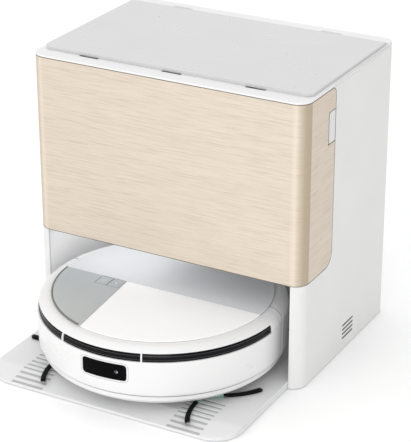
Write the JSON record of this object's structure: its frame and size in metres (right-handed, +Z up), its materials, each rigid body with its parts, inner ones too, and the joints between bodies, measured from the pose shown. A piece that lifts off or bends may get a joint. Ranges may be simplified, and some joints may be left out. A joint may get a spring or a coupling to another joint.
{
  "type": "robot vacuum with self-emptying station",
  "caption": "Round robot vacuum and mop parked on the ramp of a boxy self-emptying station with a wood-look front and a hinged lid.",
  "frame": {"origin": "on the floor under the middle of the whole footprint, robot parked", "axes": "+Z up, -Y the front where the ramp and robot are, +X to the right seen from the front"},
  "size_m": [0.422, 0.465, 0.424],
  "materials": {
    "white_shell": "fine satin texture",
    "white_lid": "semi-gloss",
    "light_grey": "satin",
    "mid_grey": "satin",
    "ramp_grey": "satin",
    "rubber_grey": "matt",
    "tank_clear": "clear",
    "tank_smoke": "smoked",
    "bin_clear": "tinted",
    "bag_paper": "non-woven",
    "green_plastic": "satin",
    "dark_plastic": "satin",
    "circuit_board": "solder mask",
    "contact_metal": "plated",
    "steel": "ground",
    "wood_front": "pale fine-grained veneer, satin",
    "woven_tag": "woven",
    "robot_white": "gloss",
    "robot_plate": "gloss",
    "cover_grey": "semi-gloss",
    "panel_grey": "metallic grey gloss",
    "battery_wrap": "shrink film",
    "black_gloss": "gloss",
    "tyre_rubber": "matt",
    "caster_black": "satin",
    "brush_black": "bristle",
    "mop_fabric": "looped pile"
  },
  "bodies": {
    "station": {"housing_shell": "white_shell", "front_frame": "light_grey", "top_deck": "white_shell", "bay_liner": "light_grey", "ramp_tray": "ramp_grey", "wash_tray": "mid_grey", "base_pan": "mid_grey", "floor_pads": "rubber_grey", "rear_panel": "white_shell", "clean_tank": "tank_clear", "dirty_tank": "tank_smoke", "tank_caps": "light_grey", "dust_bag": "bag_paper", "dust_bag_collar": "green_plastic", "suction_housing": "dark_plastic", "evac_duct": "mid_grey", "dock_board": "circuit_board", "power_inlet": "dark_plastic", "charge_contacts": "contact_metal", "hinge_pins": "steel"},
    "lid": {"lid": "white_lid"},
    "front_cover": {"wood_front": "wood_front", "fabric_tag": "woven_tag"},
    "dock_fan": {"dock_impeller": "mid_grey"},
    "robot": {"robot_chassis": "robot_white", "robot_rear_shell": "robot_white", "white_panel": "robot_plate", "grey_panel": "panel_grey", "robot_board": "circuit_board", "battery": "battery_wrap", "dust_bin": "bin_clear", "fan_housing": "dark_plastic", "brush_guard": "mid_grey", "side_brush_motors": "dark_plastic", "mop_gearboxes": "dark_plastic", "water_reservoir": "tank_clear", "robot_contacts": "contact_metal"},
    "robot_cover": {"rear_cover": "cover_grey"},
    "robot_fan": {"robot_impeller": "mid_grey"},
    "front_bumper": {"bumper": "robot_white", "sensor_band": "black_gloss", "camera_window": "black_gloss", "camera_module": "dark_plastic"},
    "power_key": {"power_button": "panel_grey"},
    "home_key": {"home_button": "panel_grey"},
    "left_suspension": {"left_wheel_arm": "dark_plastic"},
    "right_suspension": {"right_wheel_arm": "dark_plastic"},
    "left_drive": {"left_wheel": "mid_grey", "left_tyre": "tyre_rubber"},
    "right_drive": {"right_wheel": "mid_grey", "right_tyre": "tyre_rubber"},
    "caster_swivel": {"caster_fork": "dark_plastic"},
    "caster_roller": {"caster_wheel": "caster_black"},
    "brush_roll": {"main_brush": "green_plastic"},
    "left_sweeper": {"left_side_brush": "brush_black"},
    "right_sweeper": {"right_side_brush": "brush_black"},
    "left_mop": {"left_mop_plate": "white_shell", "left_mop_pad": "mop_fabric"},
    "right_mop": {"right_mop_plate": "white_shell", "right_mop_pad": "mop_fabric"}
  },
  "joints": [
    {"name": "lid_hinge", "type": "hinge", "parent": "station", "child": "lid", "pos_m": [0, 0.2149, 0.42185], "axis": [-1, 0, 0], "range_deg": [0, 85]},
    {"name": "front_cover_pull", "type": "slide", "parent": "station", "child": "front_cover", "axis": [0, -1, 0], "range_m": [0, 0.08]},
    {"name": "dock_fan_spin", "type": "hinge", "parent": "station", "child": "dock_fan", "pos_m": [0, 0.1865, 0.25], "axis": [0, 0, 1], "continuous": true},
    {"name": "drive_out", "type": "slide", "parent": "station", "child": "robot", "axis": [0, -1, 0], "range_m": [0, 0.3]},
    {"name": "rear_cover_lift", "type": "slide", "parent": "robot", "child": "robot_cover", "axis": [0, 0, 1], "range_m": [0, 0.04]},
    {"name": "robot_fan_spin", "type": "hinge", "parent": "robot", "child": "robot_fan", "pos_m": [0.092, -0.1255, 0.08], "axis": [0, 0, 1], "continuous": true},
    {"name": "bumper_press", "type": "slide", "parent": "robot", "child": "front_bumper", "axis": [0, 1, 0], "range_m": [0, 0.0025], "stiffness_N_per_m": 600, "springref_m": -0.002},
    {"name": "power_press", "type": "slide", "parent": "robot", "child": "power_key", "axis": [0, 0, -1], "range_m": [0, 0.0008], "stiffness_N_per_m": 300, "springref_m": -0.0006},
    {"name": "home_press", "type": "slide", "parent": "robot", "child": "home_key", "axis": [0, 0, -1], "range_m": [0, 0.0008], "stiffness_N_per_m": 300, "springref_m": -0.0006},
    {"name": "left_suspension_swing", "type": "hinge", "parent": "robot", "child": "left_suspension", "pos_m": [-0.104, -0.0895, 0.074], "axis": [1, 0, 0], "range_deg": [0, 8], "stiffness_Nm_per_rad": 4, "springref_deg": -14.32},
    {"name": "left_wheel_spin", "type": "hinge", "parent": "left_suspension", "child": "left_drive", "pos_m": [-0.118, -0.0405, 0.0453], "axis": [1, 0, 0], "continuous": true},
    {"name": "right_suspension_swing", "type": "hinge", "parent": "robot", "child": "right_suspension", "pos_m": [0.104, -0.0895, 0.074], "axis": [1, 0, 0], "range_deg": [0, 8], "stiffness_Nm_per_rad": 4, "springref_deg": -14.32},
    {"name": "right_wheel_spin", "type": "hinge", "parent": "right_suspension", "child": "right_drive", "pos_m": [0.118, -0.0405, 0.0453], "axis": [1, 0, 0], "continuous": true},
    {"name": "caster_turn", "type": "hinge", "parent": "robot", "child": "caster_swivel", "pos_m": [0, -0.1835, 0.05], "axis": [0, 0, 1], "continuous": true},
    {"name": "caster_roll", "type": "hinge", "parent": "caster_swivel", "child": "caster_roller", "pos_m": [0, -0.1795, 0.0268], "axis": [1, 0, 0], "continuous": true},
    {"name": "brush_spin", "type": "hinge", "parent": "robot", "child": "brush_roll", "pos_m": [0, -0.1075, 0.0385], "axis": [1, 0, 0], "continuous": true},
    {"name": "left_side_brush_spin", "type": "hinge", "parent": "robot", "child": "left_sweeper", "pos_m": [-0.114, -0.1395, 0.03], "axis": [0, 0, 1], "continuous": true},
    {"name": "right_side_brush_spin", "type": "hinge", "parent": "robot", "child": "right_sweeper", "pos_m": [0.114, -0.1395, 0.03], "axis": [0, 0, 1], "continuous": true},
    {"name": "right_mop_spin", "type": "hinge", "parent": "robot", "child": "right_mop", "pos_m": [0.062, 0.0305, 0.03], "axis": [0, 0, 1], "continuous": true},
    {"name": "left_mop_spin", "type": "hinge", "parent": "robot", "child": "left_mop", "pos_m": [-0.062, 0.0305, 0.03], "axis": [0, 0, 1], "continuous": true}
  ],
  "couplings": [
    {"joint": "left_mop_spin", "follows": "right_mop_spin", "ratio": -1}
  ]
}
